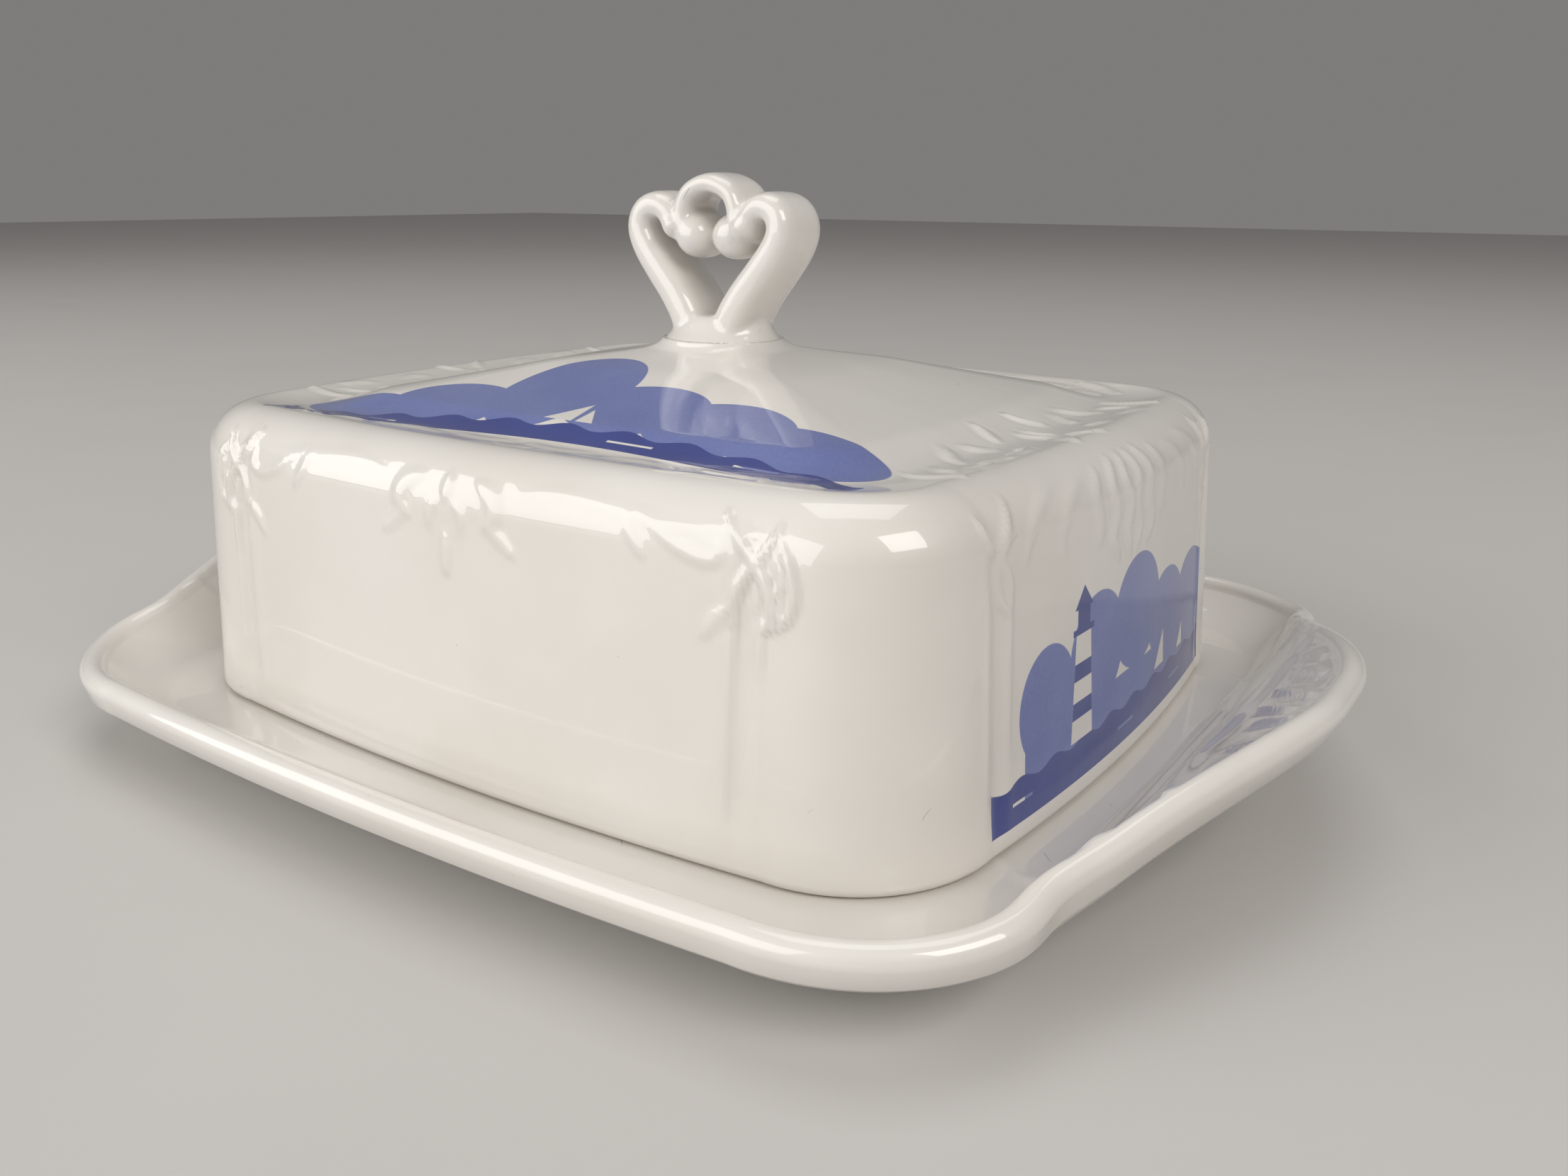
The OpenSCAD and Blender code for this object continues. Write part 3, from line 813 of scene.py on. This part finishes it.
# %% Tower, clouds and sea on the end
def end_picture(r, y, v):
    """Masks of light and dark blue on the end face; v is the height above the seat."""
    sea = (v - 3.2).under(9.0 + waves(r, y, 9, 0.5) - v).under(y + 40.8).under(40.5 - y)
    cloud = puffs(y, v, [(-27, 17, 7.5, 8), (-12, 20, 9, 8.5), (3, 22, 9.5, 8.5), (17, 18, 9, 7),
                         (32, 17, 9.5, 7.5)]).over(block(y, v, -33, 40.5, 3.2, 14)).under(40.5 - y)
    shaft = (3.3 - (v - 9) * 0.07 - (y + 17).size()).under(v - 9).under(24 - v)
    bands = block(y, v, -21, -13, 12.2, 14.6).over(block(y, v, -21, -13, 17.6, 20.0)).under(shaft)
    lantern = block(y, v, -20.2, -13.8, 24, 24.9).over(block(y, v, -18.9, -15.1, 24.8, 27.6)).over(
        triangle(y, v, (-19.8, 27.5), (-14.2, 27.5), (-17, 30.6)))
    boats = triangle(y, v, (11.6, 10.0), (16.2, 10.0), (15.6, 15.6)).over(
        triangle(y, v, (24.0, 9.8), (27.2, 9.8), (26.8, 13.6)))
    foam = dashes(y, v, (-36, -31, 6.2), (-4, 2, 5.8), (20, 26, 6.0))
    white = shaft.under(-bands)
    light = cloud.under(-white).under(-boats)
    return ink(light, 0.12), ink(sea.under(-shaft).under(-foam).over(bands).over(lantern), 0.1)


# %% Glaze the tray, the knob and the lid
r, _, body, bare, wave, marks = glaze("tray_glaze", 0.15)
tray.data.materials.append(fire(r, body, bare, wave, marks))
r, _, body, bare, wave, marks = glaze("knob_glaze", -5.0)
knob.data.materials.append(fire(r, body, bare, wave, marks))

r, (x, y, z), body, bare, wave, marks = glaze("lid_glaze", SEAT + 0.15)
shown = r.node("ShaderNodeAttribute", {"attribute_name": "outside"}, {}, "Fac")
on_top = ink(z - (SEAT + WALL_H - 1.6)) * shown
on_end = ink(x - (HALF_X - 6.0)) * shown * ink(SEAT + WALL_H - 6 - z)
top_light, top_dark = top_picture(r, x, y)
end_light, end_dark = end_picture(r, y, z - SEAT)
grain = r.noise(0.5, 2, 0.7)
tone = r.noise(16, 2).between(0.3, 0.75)
pale = r.blend(tone, (0.125, 0.165, 0.43, 1), (0.155, 0.20, 0.46, 1))
pale = r.blend(grain.between(0.35, 0.8) * 0.25, pale, (0.25, 0.29, 0.54, 1))
deep = r.blend(tone, (0.024, 0.042, 0.235, 1), (0.034, 0.056, 0.27, 1))
light = (top_light * on_top).over(end_light * on_end)
dark = (top_dark * on_top).over(end_dark * on_end)
colour = r.blend(light, body, pale)
colour = r.blend(dark, colour, deep)
lid.data.materials.append(fire(r, colour, bare, wave + light.over(dark) * 0.02, marks))
print("nodes in the lid's glaze", len(r.tree.nodes))

# %% [markdown]
# ## Stage, light and camera
# A plain pale floor and soft lights, as in a small studio. Glaze shows its form
# by what it mirrors, so a broad window of light stands to the left, a soft one hangs
# overhead, and the room itself is a dim even grey. The camera stands a
# little above the dish, near a front corner.

# %% Floor
bm = bmesh.new()
bmesh.ops.create_grid(bm, x_segments=2, y_segments=2, size=3.0)
floor = finished("floor", bm)
paper = Recipe("floor_paper")
paper.feed(paper.shader.inputs["Base Color"],
           paper.blend(paper.noise(60, 3), (0.58, 0.565, 0.55, 1), (0.61, 0.595, 0.58, 1)))
paper.shader.inputs["Roughness"].default_value = 0.75
floor.data.materials.append(paper.material)


# %% Lights
def window(name, place, target, width, height, power, colour=(1, 1, 1)):
    """A soft rectangular light at a place, facing a target."""
    lamp = bpy.data.lights.new(name, "AREA")
    lamp.shape, lamp.size, lamp.size_y = "RECTANGLE", width, height
    lamp.energy, lamp.color = power, colour
    obj = bpy.data.objects.new(name, lamp)
    way = (Vector(target) - Vector(place)).normalized()
    obj.matrix_world = Matrix.Translation(place) @ way.to_track_quat("-Z", "Y").to_matrix().to_4x4()
    bpy.context.collection.objects.link(obj)
    return obj


heart = (0, 0, 0.04)
window("window_left", (-0.62, -1.10, 0.52), heart, 1.7, 1.0, 14.5, (1.0, 0.985, 0.955))
window("soft_top", (-0.15, 0.25, 1.5), heart, 0.9, 0.9, 4.6, (1.0, 0.98, 0.96))
window("fill_right", (0.95, -0.30, 0.85), heart, 0.6, 0.6, 6.5, (1.0, 0.97, 0.93))
world = bpy.data.worlds.new("room")
world.use_nodes = True
world.node_tree.nodes["Background"].inputs["Color"].default_value = (0.62, 0.60, 0.59, 1)
world.node_tree.nodes["Background"].inputs["Strength"].default_value = 0.34
bpy.context.scene.world = world
bpy.context.scene.view_settings.view_transform = "Standard"

# %% Camera
AZIMUTH, ELEVATION, ROLL = (math.radians(a) for a in (34.02, 17.24, 0.33))
LENS, SENSOR = 29.78, 36.0
camera_place = Vector((0.1301, -0.1743, 0.08045 + SEAT * MM))
back = Vector((math.sin(AZIMUTH) * math.cos(ELEVATION), -math.cos(AZIMUTH) * math.cos(ELEVATION),
               math.sin(ELEVATION)))
right = Vector((0, 0, 1)).cross(back).normalized()
up = back.cross(right)
turned = Matrix((right * math.cos(ROLL) + up * math.sin(ROLL),
                 up * math.cos(ROLL) - right * math.sin(ROLL), back)).transposed()
lens = bpy.data.cameras.new("camera")
lens.lens, lens.sensor_width, lens.sensor_fit = LENS, SENSOR, "HORIZONTAL"
lens.clip_start = 0.01
camera = bpy.data.objects.new("camera", lens)
camera.matrix_world = Matrix.Translation(camera_place) @ turned.to_4x4()
bpy.context.collection.objects.link(camera)
bpy.context.scene.camera = camera
